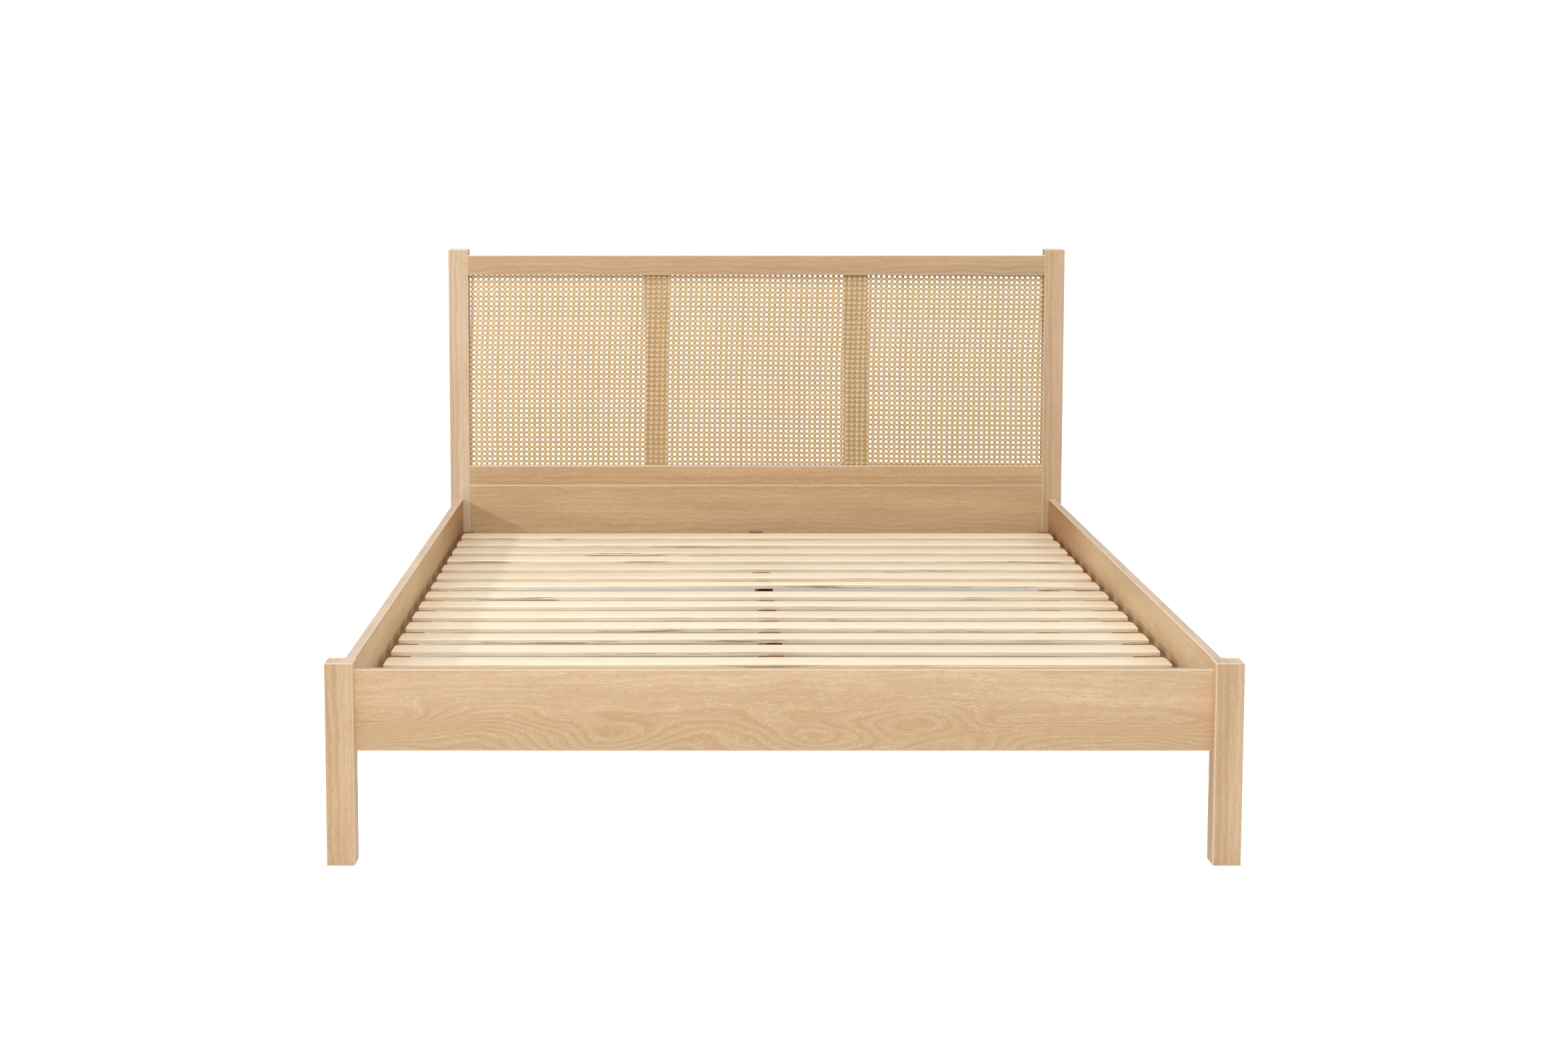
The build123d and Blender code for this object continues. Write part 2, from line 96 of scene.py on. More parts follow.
# Cane
CELL_WIDTH = 13.56 * MM
CELL_HEIGHT = 12.45 * MM
VERTICAL_WIDTH = 3.34 * MM
VERTICAL_SPREAD = 1.68 * MM
HORIZONTAL_WIDTH = 2.84 * MM
HORIZONTAL_SPREAD = 1.42 * MM
DIAGONAL_WIDTH = 2.55 * MM
STRAND_THICKNESS = 0.42 * MM
PAIR_RISE = 0.2 * MM
DIAGONAL_RISE = 0.45 * MM
# How dark the diagonal strands are drawn: painted shade
DIAGONAL_SHADE = 0.46
CANE_COLUMNS = 109
CANE_ROWS = 40
CANE_SIDE_MARGIN = 6.1 * MM
CANE_TOP_MARGIN = 13.3 * MM
CANE_LIGHT = (0.88, 0.66, 0.37)
CANE_GOLD = (0.74, 0.51, 0.25)

# How far the lattice leans, tightens and sags
LEAN = 5.0 * MM
LEFT_LEAN = 3.7 * MM
TIGHTENING = 3.0 * MM
UPRIGHT_TUCK = 1.5 * MM
SAG = 8.0 * MM

# Where each of them sets in: a start and a length, in metres, along X or down from the top
LEFT_PART = (-0.70, 0.95)
LEAN_DROP = (0.0, 0.26)
LEFT_LEAN_DROP = (0.0, 0.5)
TIGHTENING_X = (-0.20, 0.4)
UPRIGHT_NEAR_X = (-0.42, 0.08)
UPRIGHT_PAST_X = (-0.18, 0.15)
TUCK_DROP = (0.30, 0.1)
SAG_X = (-0.35, 1.1)

# Camera
LENS = 56.29
SENSOR_WIDTH = 36.0
SHIFT = (0.056, -0.08)
CAMERA_PLACE = (-0.1533, -5.2388, 1.2369)
CAMERA_TILT_DOWN = 5.62
FARTHEST_SEEN = 200.0

# Studio
WORLD_LIGHT = 0.315
FLOOR_SIZE = 60.0
FLOOR_LIFT = 0.9
# Where the floor's painted shadow lies, in metres: its middle and sides across X, its front and back
# along Y
SHADE_CENTRE = 0.045
SHADE_SIDES = (0.88, 1.0)
SHADE_FRONT = (0.55, -0.25)
SHADE_BACK = (1.5, 2.8)


# ---------------------------------------------------------------- shader nodes
class Shader:
    """A material and its node tree, with one short method for each kind of node."""

    def __init__(self, name):
        self.material = bpy.data.materials.new(name)
        self.material.use_nodes = True
        tree = self.material.node_tree
        tree.nodes.clear()
        self.nodes = tree.nodes
        self.links = tree.links

    def add(self, kind, **settings):
        node = self.nodes.new(kind)
        for key, value in settings.items():
            setattr(node, key, value)
        return node

    def put(self, socket, value):
        if isinstance(value, bpy.types.NodeSocket):
            self.links.new(value, socket)
        else:
            socket.default_value = value

    def math(self, operation, first, second=0.0, third=0.0):
        node = self.add("ShaderNodeMath", operation=operation)
        for socket, value in zip(node.inputs, (first, second, third)):
            self.put(socket, value)
        return node.outputs[0]

    def vector(self, x, y, z):
        node = self.add("ShaderNodeCombineXYZ")
        for socket, value in zip(node.inputs, (x, y, z)):
            self.put(socket, value)
        return node.outputs[0]

    def position(self):
        """The three object coordinates."""
        coordinates = self.add("ShaderNodeTexCoord")
        parts = self.add("ShaderNodeSeparateXYZ")
        self.put(parts.inputs[0], coordinates.outputs["Object"])
        return list(parts.outputs)

    def noise(self, vector, detail=2.0, roughness=0.5):
        node = self.add("ShaderNodeTexNoise")
        self.put(node.inputs["Vector"], vector)
        node.inputs["Scale"].default_value = 1.0
        node.inputs["Detail"].default_value = detail
        node.inputs["Roughness"].default_value = roughness
        return node.outputs["Fac"]

    def stretched_noise(self, place, along, across, detail=2.0, roughness=0.5):
        """Noise drawn out along the first coordinate. The scales are features per metre."""
        a, b, c = place
        vector = self.vector(
            self.math("MULTIPLY", a, along),
            self.math("MULTIPLY", b, across),
            self.math("MULTIPLY", c, across),
        )
        return self.noise(vector, detail, roughness)

    def band(self, value, low, high):
        """Maps a value smoothly from 0 at low to 1 at high."""
        node = self.add("ShaderNodeMapRange", interpolation_type="SMOOTHSTEP", clamp=True)
        self.put(node.inputs["Value"], value)
        self.put(node.inputs["From Min"], low)
        self.put(node.inputs["From Max"], high)
        return node.outputs["Result"]

    def mix(self, amount, first, second, blend="MIX"):
        """Blends two colours. Sockets 0, 6 and 7 are the amount and the two colours."""
        node = self.add("ShaderNodeMix", data_type="RGBA", blend_type=blend)
        self.put(node.inputs[0], amount)
        self.put(node.inputs[6], first)
        self.put(node.inputs[7], second)
        return node.outputs[2]

    def attribute(self, name):
        node = self.add("ShaderNodeAttribute", attribute_name=name)
        return node.outputs["Fac"]

    def finish(self, color, roughness, height, depth, **constants):
        """Joins the colour, roughness and relief to the surface. The constants go on its sockets."""
        surface = self.add("ShaderNodeBsdfPrincipled")
        self.put(surface.inputs["Base Color"], color)
        self.put(surface.inputs["Roughness"], roughness)
        bump = self.add("ShaderNodeBump")
        bump.inputs["Strength"].default_value = 1.0
        bump.inputs["Distance"].default_value = depth
        self.put(bump.inputs["Height"], height)
        self.put(surface.inputs["Normal"], bump.outputs["Normal"])
        for key, value in constants.items():
            surface.inputs[key.replace("_", " ")].default_value = value
        output = self.add("ShaderNodeOutputMaterial")
        self.put(output.inputs["Surface"], surface.outputs["BSDF"])
        return self.material


def rgb(red, green, blue):
    return (red, green, blue, 1.0)


# ---------------------------------------------------------------- wood
GRAIN_ORDER = {"X": (0, 2, 1), "Y": (1, 2, 0), "Z": (2, 0, 1)}

OAK_LIGHT = (0.655, 0.468, 0.287)
OAK_DARK = (0.545, 0.370, 0.212)
OAK_RING = (0.485, 0.305, 0.160)
OAK_CREAM = (0.83, 0.68, 0.48)
OAK_PORE = (0.40, 0.26, 0.15)
# The eased edges: paler rubbed wood, with a painted highlight
OAK_EDGE = (0.76, 0.64, 0.48)
RINGS_PER_METRE = 75.0

# Features per metre, along and across the grain
OAK_SWELL = (2.9, 9.0)
OAK_RIPPLE = (14.0, 28.0)
OAK_JITTER = (50.0, 90.0)
OAK_CLOUD = (2.6, 26.0)
OAK_FIBRE = (20.0, 420.0)
OAK_TICK = (75.0, 950.0)
OAK_TICK_ZONE = (8.0, 70.0)
OAK_PORES = (70.0, 1000.0)
RIPPLE_REACH = 12.0 * MM
JITTER_REACH = 2.8 * MM
OAK_RELIEF = 0.06 * MM

# Where the shade on the side rails' inner faces begins and ends, in metres, and its colours
RAIL_INNER_FACE = (0.7535, 0.7522)
HEAD_END_SHADE_Y = (0.15, 0.90)
HEAD_END_SHADE = (0.69, 0.53, 0.42)
SLAT_END_SHADE_Y = (0.050, 0.025)
SLAT_END_SHADE_Z = (0.300, 0.286)
SLAT_END_SHADE = (0.84, 0.77, 0.69)
LOW_SHADE_Z = (0.330, 0.280)
LOW_SHADE = (0.88, 0.82, 0.76)


# Light and dark colours of the pieces that aren't oak. The slats' edge colour holds a painted
# highlight, and the colours of the supports and the centre leg are painted shade
SLAT_FACE = (rgb(0.80, 0.69, 0.51), rgb(0.67, 0.52, 0.35))
SLAT_SAWN = (rgb(0.70, 0.56, 0.39), rgb(0.88, 0.75, 0.56))
SLAT_END = (rgb(0.78, 0.65, 0.48), rgb(0.60, 0.44, 0.27))
# The slats' rounded upper edges: a painted highlight
SLAT_EDGE_HIGHLIGHT = (rgb(0.93, 0.86, 0.72), rgb(0.80, 0.68, 0.50))
# The ledgers, centre beam and centre leg are drawn dark brown: painted shade under the slats
SUPPORT_PAINTED_SHADE = (rgb(0.20, 0.10, 0.045), rgb(0.11, 0.055, 0.025))
SUPPORT_EDGE_PAINTED_SHADE = (rgb(0.26, 0.14, 0.07), rgb(0.16, 0.08, 0.04))
LEG_PAINTED_SHADE = (rgb(0.26, 0.14, 0.07), rgb(0.15, 0.08, 0.04))
BEECH = (rgb(0.72, 0.52, 0.34), rgb(0.58, 0.38, 0.22))
REED = (rgb(0.74, 0.58, 0.36), rgb(0.55, 0.38, 0.2))
BARK = rgb(0.20, 0.11, 0.06)
KNOT = rgb(0.42, 0.25, 0.13)


def tinted(color, tint):
    """A colour multiplied by a tint, as a node takes it."""
    return rgb(*(min(part * factor, 0.95) for part, factor in zip(color, tint)))


def grain_place(shader, along, centre, seed):
    """Coordinates along and across the grain, measured from the middle of a board."""
    position = shader.position()
    place = []
    for axis in GRAIN_ORDER[along]:
        place.append(shader.math("SUBTRACT", position[axis], centre[axis]))
    place[0] = shader.math("ADD", place[0], seed * 7.3)
    return place


def oak(name, along, node, seed, figure, flecked, tint, shade=None):
    """Natural oak: lines that bend round soft darker figures, short cream ticks and fine pores.
    The wood is darker, and the figures deepest, in the lower half of a board."""
    shader = Shader(name)
    low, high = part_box(node)
    a, b, c = grain_place(shader, along, (low + high) / 2, seed)
    half_width = (high - low)[GRAIN_ORDER[along][1]] / 2
    lower = shader.band(shader.math("DIVIDE", b, half_width), 0.30, -0.35)
    depth = shader.math("MULTIPLY_ADD", lower, figure, third=0.25 * figure)
    swell, ripple, jitter = [
        shader.math("SUBTRACT", shader.stretched_noise((a, b, c), *scales, 1.0), 0.5)
        for scales in (OAK_SWELL, OAK_RIPPLE, OAK_JITTER)
    ]
    bend = shader.math("MULTIPLY", swell, depth)
    for part, reach in ((ripple, RIPPLE_REACH), (jitter, JITTER_REACH)):
        bend = shader.math("ADD", bend, shader.math("MULTIPLY", part, reach))
    place = (a, shader.math("ADD", b, bend), shader.math("ADD", c, bend))
    ring = shader.math("FRACT", shader.math("MULTIPLY", place[1], RINGS_PER_METRE))
    ring = shader.math("MULTIPLY", shader.band(ring, 0.1, 0.75), shader.band(ring, 1.0, 0.8))
    cloud = shader.band(shader.stretched_noise(place, *OAK_CLOUD, 3.0), 0.30, 0.70)
    cloud_cut = -0.5 - 1.9 * figure
    cloud = shader.math("MULTIPLY", cloud, shader.math("MULTIPLY_ADD", lower, cloud_cut, third=1.0))
    fibre = shader.stretched_noise(place, *OAK_FIBRE, 4.0, 0.65)
    tick = shader.stretched_noise(place, *OAK_TICK, 1.0)
    tick_zone = shader.band(shader.stretched_noise(place, *OAK_TICK_ZONE, 2.0), 0.25, 0.70)
    pore = shader.stretched_noise(place, *OAK_PORES, 1.0)

    light, dark, cream = (tinted(color, tint) for color in (OAK_LIGHT, OAK_DARK, OAK_CREAM))
    color = shader.mix(cloud, dark, light)
    ring_depth = shader.math("MULTIPLY_ADD", lower, 0.55 + 0.7 * figure, third=0.25)
    color = shader.mix(shader.math("MULTIPLY", ring, ring_depth), color, tinted(OAK_RING, tint))
    pale_lines = shader.math("MULTIPLY", shader.band(fibre, 0.50, 0.72), 0.7 * flecked)
    color = shader.mix(pale_lines, color, cream)
    brown_lines = shader.math("MULTIPLY", shader.band(fibre, 0.50, 0.32), 0.75)
    color = shader.mix(brown_lines, color, dark)
    ticks = shader.math("MULTIPLY", shader.band(tick, 0.52, 0.72), tick_zone)
    color = shader.mix(shader.math("MULTIPLY", ticks, flecked), color, cream)
    pores = shader.band(pore, 0.42, 0.26)
    color = shader.mix(shader.math("MULTIPLY", pores, 0.5), color, tinted(OAK_PORE, tint))
    if shade:
        color = shader.mix(1.0, color, shade(shader), "MULTIPLY")
    roughness = shader.math("MULTIPLY_ADD", fibre, 0.16, third=0.42)
    height = shader.math("SUBTRACT", shader.math("MULTIPLY", fibre, 0.6), pores)
    return shader.finish(color, roughness, height, OAK_RELIEF)


def rail_shade(shader):
    """The soft shade on a side rail's inner face: towards the headboard and beside each slat."""
    x, y, z = shader.position()
    inner = shader.band(shader.math("ABSOLUTE", x), *RAIL_INNER_FACE)
    white = rgb(1, 1, 1)
    far = shader.mix(shader.band(y, *HEAD_END_SHADE_Y), white, rgb(*HEAD_END_SHADE))
    nearest = shader.math("PINGPONG", shader.math("SUBTRACT", y, SLAT_START), SLAT_PITCH / 2)
    beside_slat = shader.band(nearest, *SLAT_END_SHADE_Y)
    beside = shader.math("MULTIPLY", beside_slat, shader.band(z, *SLAT_END_SHADE_Z))
    low_down = shader.mix(shader.band(z, *LOW_SHADE_Z), white, rgb(*LOW_SHADE))
    shaded = shader.mix(beside, far, rgb(*SLAT_END_SHADE), "MULTIPLY")
    shaded = shader.mix(1.0, shaded, low_down, "MULTIPLY")
    return shader.mix(inner, white, shaded)


def oak_edge(name, along, node, seed):
    """The pale line along the eased edges of a board: paler rubbed wood, and a painted highlight."""
    shader = Shader(name)
    low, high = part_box(node)
    place = grain_place(shader, along, (low + high) / 2, seed)
    fibre = shader.stretched_noise(place, 12.0, 900.0, 3.0)
    wear_and_highlight = shader.band(shader.stretched_noise(place, 7.0, 20.0, 2.0), 0.35, 0.65)
    pale = rgb(*OAK_EDGE)
    color = shader.mix(shader.math("MULTIPLY", wear_and_highlight, 0.5), pale, tinted(OAK_EDGE, (0.9, 0.86, 0.8)))
    color = shader.mix(
        shader.math("MULTIPLY", shader.band(fibre, 0.5, 0.3), 0.3), color, rgb(*OAK_LIGHT)
    )
    roughness = shader.math("ADD", shader.math("MULTIPLY", fibre, 0.2), 0.38)
    return shader.finish(color, roughness, fibre, 0.05 * MM)


def pine(name, along, seed, light, dark, knots=0.0, shade=None):
    """Planed softwood with straight even grain and the odd faint knot."""
    shader = Shader(name)
    a, b, c = grain_place(shader, along, (0.0, 0.0, 0.0), seed)
    drift = shader.math("SUBTRACT", shader.stretched_noise((a, b, c), 1.2, 8.0, 2.0), 0.5)
    place = (a, shader.math("ADD", b, shader.math("MULTIPLY", drift, 0.012)),
             shader.math("ADD", c, shader.math("MULTIPLY", drift, 0.03)))
    grain = shader.stretched_noise(place, 1.5, 150.0, 2.0)
    fibre = shader.stretched_noise(place, 14.0, 700.0, 3.0, 0.6)
    broad = shader.stretched_noise((a, b, c), 1.0, 6.0, 1.0)
    color = shader.mix(shader.band(broad, 0.35, 0.65), light, average_color(light, dark))
    color = shader.mix(shader.math("MULTIPLY", shader.band(grain, 0.45, 0.7), 0.6), color, dark)
    color = shader.mix(shader.math("MULTIPLY", shader.band(fibre, 0.5, 0.3), 0.35), color, dark)
    if knots:
        knot = shader.stretched_noise((a, b, c), 7.0, 22.0, 1.0)
        spot = shader.math("MULTIPLY", shader.band(knot, 0.76, 0.84), knots)
        color = shader.mix(spot, color, KNOT)
    if shade:
        color = shader.mix(1.0, color, shade(shader), "MULTIPLY")
    roughness = shader.math("MULTIPLY_ADD", fibre, 0.2, third=0.5)
    return shader.finish(color, roughness, shader.math("ADD", grain, fibre), 0.06 * MM)


def slat_shade(shader):
    """Each slat's own tone, and warmer painted shade at its two ends, beside the side rails."""
    x = shader.position()[0]
    tone = shader.attribute("tone")
    end = shader.band(shader.math("ABSOLUTE", x), *SLAT_SHADED_ENDS_X)
    return shader.mix(end, shader.vector(tone, tone, tone), rgb(*SLAT_ENDS_PAINTED_SHADE))


def average_color(first, second):
    """The colour half-way between two."""
    return tuple((one + two) / 2 for one, two in zip(first, second))


def slat_side(name, seed):
    """The rough sawn side of a slat: tan, with thin brown streaks and cracks of bark."""
    shader = Shader(name)
    a, b, c = grain_place(shader, "X", (0.0, 0.0, 0.0), seed)
    fibre = shader.stretched_noise((a, b, c), 9.0, 700.0, 3.0, 0.6)
    streak = shader.stretched_noise((a, b, c), 6.0, 300.0, 3.0, 0.6)
    zone = shader.band(shader.stretched_noise((a, b, c), 2.5, 9.0, 1.0), 0.45, 0.58)
    color = shader.mix(shader.band(fibre, 0.3, 0.7), *SLAT_SAWN)
    bark = shader.math("MULTIPLY", shader.band(streak, 0.55, 0.63), zone)
    color = shader.mix(shader.math("MULTIPLY", bark, 0.8), color, BARK)
    height = shader.math("SUBTRACT", fibre, shader.math("MULTIPLY", bark, 2.0))
    return shader.finish(color, 0.75, height, 0.2 * MM)


# ---------------------------------------------------------------- other materials
def cane_material(name, along, shade=1.0):
    """Glossy split cane: golden, with darker edges of painted shade and fine lines along each strand."""
    shader = Shader(name)
    place = grain_place(shader, along, (0.0, 0.0, 0.0), 1)
    across = shader.attribute("across")
    tone = shader.attribute("tone")
    fibre = shader.stretched_noise(place, 60.0, 1500.0, 2.0)
    patch = shader.stretched_noise(place, 22.0, 120.0, 2.0)
    shades = (shade, shade, shade)
    color = shader.mix(
        tone, tinted(CANE_GOLD, shades), tinted(CANE_LIGHT, shades)
    )
    color = shader.mix(
        shader.math("MULTIPLY", shader.band(patch, 0.5, 0.75), 0.4), color, rgb(0.62, 0.40, 0.18)
    )
    color = shader.mix(
        shader.math("MULTIPLY", shader.band(fibre, 0.5, 0.3), 0.35), color, rgb(0.52, 0.34, 0.16)
    )
    # Painted shade along each strand's edges
    color = shader.mix(
        shader.math("MULTIPLY", shader.band(across, 0.72, 1.0), 0.75), color, rgb(0.36, 0.21, 0.09)
    )
    roughness = shader.math("ADD", shader.math("MULTIPLY", fibre, 0.2), 0.28)
    return shader.finish(color, roughness, fibre, 0.03 * MM)


def metal(name, color, roughness, grain):
    """Plated steel or cast zinc with a fine irregular surface."""
    shader = Shader(name)
    x, y, z = shader.position()
    fine = shader.noise(shader.vector(*[shader.math("MULTIPLY", v, grain) for v in (x, y, z)]), 4.0)
    dull = shader.math("ADD", shader.math("MULTIPLY", fine, 0.25), roughness)
    tint = shader.mix(shader.band(fine, 0.3, 0.7), color, average_color(color, rgb(0.4, 0.4, 0.42)))
    return shader.finish(tint, dull, fine, 0.03 * MM, Metallic=1.0)


def black_plastic(name):
    """Moulded plastic with a fine spark-eroded texture."""
    shader = Shader(name)
    x, y, z = shader.position()
    fine = shader.noise(shader.vector(*[shader.math("MULTIPLY", v, 2500.0) for v in (x, y, z)]), 3.0)
    tint = shader.mix(fine, rgb(0.018, 0.018, 0.018), rgb(0.045, 0.045, 0.047))
    roughness = shader.math("ADD", shader.math("MULTIPLY", fine, 0.2), 0.45)
    return shader.finish(tint, roughness, fine, 0.06 * MM)


def floor_material():
    """A pale floor, washed out to white except in a painted shadow under and behind the bed."""
    shader = Shader("pale_floor")
    x, y, z = shader.position()
    fine = shader.noise(shader.vector(*[shader.math("MULTIPLY", v, 40.0) for v in (x, y, z)]), 4.0)
    from_centre = shader.math("ABSOLUTE", shader.math("SUBTRACT", x, SHADE_CENTRE))
    beside = shader.band(from_centre, *SHADE_SIDES)
    before = shader.band(y, *SHADE_FRONT)
    behind = shader.band(y, *SHADE_BACK)
    outside = shader.math("MAXIMUM", shader.math("MAXIMUM", beside, before), behind)
    open_floor = shader.mix(fine, rgb(0.88, 0.88, 0.88), rgb(0.92, 0.92, 0.915))
    # Inside the painted shadow the floor is darker
    tint = shader.mix(outside, rgb(0.58, 0.56, 0.53), open_floor)
    seen = shader.add("ShaderNodeLightPath").outputs["Is Camera Ray"]
    lift = shader.add("ShaderNodeEmission")
    lifted = shader.math("MULTIPLY", shader.math("MULTIPLY", seen, outside), FLOOR_LIFT)
    shader.put(lift.inputs["Strength"], lifted)
    material = shader.finish(tint, 0.8, fine, 0.05 * MM)
    output = shader.nodes["Material Output"]
    both = shader.add("ShaderNodeAddShader")
    shader.put(both.inputs[0], output.inputs["Surface"].links[0].from_socket)
    shader.put(both.inputs[1], lift.outputs[0])
    shader.put(output.inputs["Surface"], both.outputs[0])
    return material


# ---------------------------------------------------------------- boards
def on_box_edge(edge, low, high):
    """Whether an edge lies along an edge of the board's box, and the axis that it runs along."""
    middle = (edge.verts[0].co + edge.verts[1].co) / 2
    touched = [
        axis for axis in range(3)
        if abs(middle[axis] - low[axis]) < 1e-5 or abs(middle[axis] - high[axis]) < 1e-5
    ]
    if len(touched) != 2:
        return None
    return next(axis for axis in range(3) if axis not in touched)


def eased_board(node, axes, width, materials):
    """A CAD board with the edges that run along the given axes eased in the second material, and
    its upper face in the third, if there is one."""
    source = frame["nodes"][node].data
    low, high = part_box(node)
    shape = bmesh.new()
    shape.from_mesh(source)
    bmesh.ops.remove_doubles(shape, verts=shape.verts, dist=1e-6)
    bmesh.ops.dissolve_limit(
        shape, angle_limit=math.radians(0.5), verts=shape.verts, edges=shape.edges
    )
    for face in shape.faces:
        face.material_index = 2 if len(materials) == 3 and face.normal.z > 0.9 else 0
        face.smooth = False
    wanted = {"XYZ".index(axis) for axis in axes}
    edges = [edge for edge in shape.edges if on_box_edge(edge, low, high) in wanted]
    bmesh.ops.bevel(
        shape, geom=edges, offset=width, offset_type="OFFSET", segments=3,
        profile=0.5, affect="EDGES", clamp_overlap=False, material=1,
    )
    bmesh.ops.triangulate(shape, faces=[face for face in shape.faces if len(face.verts) > 4])
    return stand_in(f"{node}_board", mesh_of(shape, node), materials, node)


def mesh_of(shape, name):
    mesh = bpy.data.meshes.new(name)
    shape.to_mesh(mesh)
    shape.free()
    return mesh


def stand_in(name, mesh, materials, *replaced, slot=None):
    """Adds a piece to the bed in place of some CAD nodes."""
    piece = bpy.data.objects.new(name, mesh)
    bpy.context.scene.collection.objects.link(piece)
    for material in materials:
        mesh.materials.append(material)
    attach(piece, FRAME_BODY)
    if replaced:
        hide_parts(*replaced)
    return piece


def slot_of(node):
    """The record's material slot of a CAD node."""
    for entry in frame["record"]["subparts"]:
        if entry["node"] == node:
            return entry["material_slot"]


# Each board's grain direction, eased edges, depth of figure, strength of its ticks, tint, and
# tint of its upper face. The upper tints add painted sheen to the tops' own paler tone;
# the footboard's darker upper tint is painted shade.
UPPER_TONE_AND_SHEEN_TINT = (0.97, 1.06, 1.24)
POST_TINTS = ((1.18, 1.15, 1.13), UPPER_TONE_AND_SHEEN_TINT)
HEAD_LEFT_TINTS = ((1.04, 1.11, 1.27), UPPER_TONE_AND_SHEEN_TINT)
HEAD_RIGHT_TINTS = ((1.02, 1.02, 1.06), UPPER_TONE_AND_SHEEN_TINT)
TOP_RAIL_TINTS = ((0.90, 0.86, 0.83), UPPER_TONE_AND_SHEEN_TINT)
LOWER_TINTS = ((0.97, 0.92, 0.85), UPPER_TONE_AND_SHEEN_TINT)
RAIL_UPPER_TONE_AND_SHEEN_TINT = (0.96, 1.05, 1.27)
BOARDS = {
    "head_post_left": ("Z", "XYZ", 0.02, 0.25, *HEAD_LEFT_TINTS),
    "head_post_right": ("Z", "XYZ", 0.02, 0.25, *HEAD_RIGHT_TINTS),
    "foot_post_left": ("Z", "XYZ", 0.02, 0.30, *POST_TINTS),
    "foot_post_right": ("Z", "XYZ", 0.02, 0.30, *POST_TINTS),
    "headboard_top_rail": ("X", "X", 0.045, 0.25, *TOP_RAIL_TINTS),
    "headboard_lower_rail": ("X", "X", 0.030, 0.35, *LOWER_TINTS),
    "headboard_lower_board": ("X", "X", 0.060, 0.40, *LOWER_TINTS),
    "cane_upright_left": ("Z", "Z", 0.020, 0.30, *HEAD_RIGHT_TINTS),
    "cane_upright_right": ("Z", "Z", 0.020, 0.30, *HEAD_RIGHT_TINTS),
    "footboard": ("X", "X", 0.260, 0.50, (1.23, 1.20, 1.17), (0.82, 0.78, 0.76)),
    "side_rail_left": ("Y", "Y", 0.030, 0.15, (1.25, 1.30, 1.29), RAIL_UPPER_TONE_AND_SHEEN_TINT),
    "side_rail_right": ("Y", "Y", 0.030, 0.15, (1.16, 1.20, 1.22), RAIL_UPPER_TONE_AND_SHEEN_TINT),
}


def make_boards():
    for seed, (node, settings) in enumerate(BOARDS.items(), start=1):
        along, eased, figure, flecked, tint, upper_tint = settings
        shade = rail_shade if node.startswith("side_rail") else None
        face = oak(f"oak_{node}", along, node, seed, figure, flecked, tint, shade)
        edge = oak_edge(f"oak_edge_{node}", along, node, seed)
        # The upper face's tint holds painted sheen, and on the footboard painted shade
        upper = oak(f"oak_upper_{node}", along, node, seed + 20, 0.01, 0.2, upper_tint)
        eased_board(node, eased, EDGE_EASE, [face, edge, upper])


def make_supports():
    # Dark brown of painted shade under the slats
    tan = pine("pine_support", "Y", 3, *SUPPORT_PAINTED_SHADE, knots=0.6)
    tan_edge = pine("pine_support_edge", "Y", 4, *SUPPORT_EDGE_PAINTED_SHADE)
    upright = pine("pine_leg", "Z", 5, *LEG_PAINTED_SHADE)
    for side in SIDES:
        eased_board(f"side_ledger_{side}", "XYZ", EDGE_EASE, [tan, tan_edge])
    eased_board("centre_beam", "XYZ", EDGE_EASE, [tan, tan_edge])
    eased_board("centre_leg", "XYZ", EDGE_EASE, [upright, tan_edge])


# ---------------------------------------------------------------- slats
def rounded_section(half_width, half_height, inset=0.0):
    """The points of a slat's section, anticlockwise from the lower right, with its upper corners
    well rounded and its lower ones nearly sharp."""
    points = []
    for turn, (side_y, side_z) in enumerate(((1, -1), (1, 1), (-1, 1), (-1, -1))):
        radius = SLAT_ROUND if side_z > 0 else SLAT_LOWER_ROUND
        corner = max(radius - inset, 0.1 * MM)
        for step in range(4):
            angle = math.pi * ((turn - 1) / 2 + step / 6)
            points.append(
                (
                    side_y * (half_width - inset - corner) + corner * math.cos(angle),
                    side_z * (half_height - inset - corner) + corner * math.sin(angle),
                )
            )
    return points


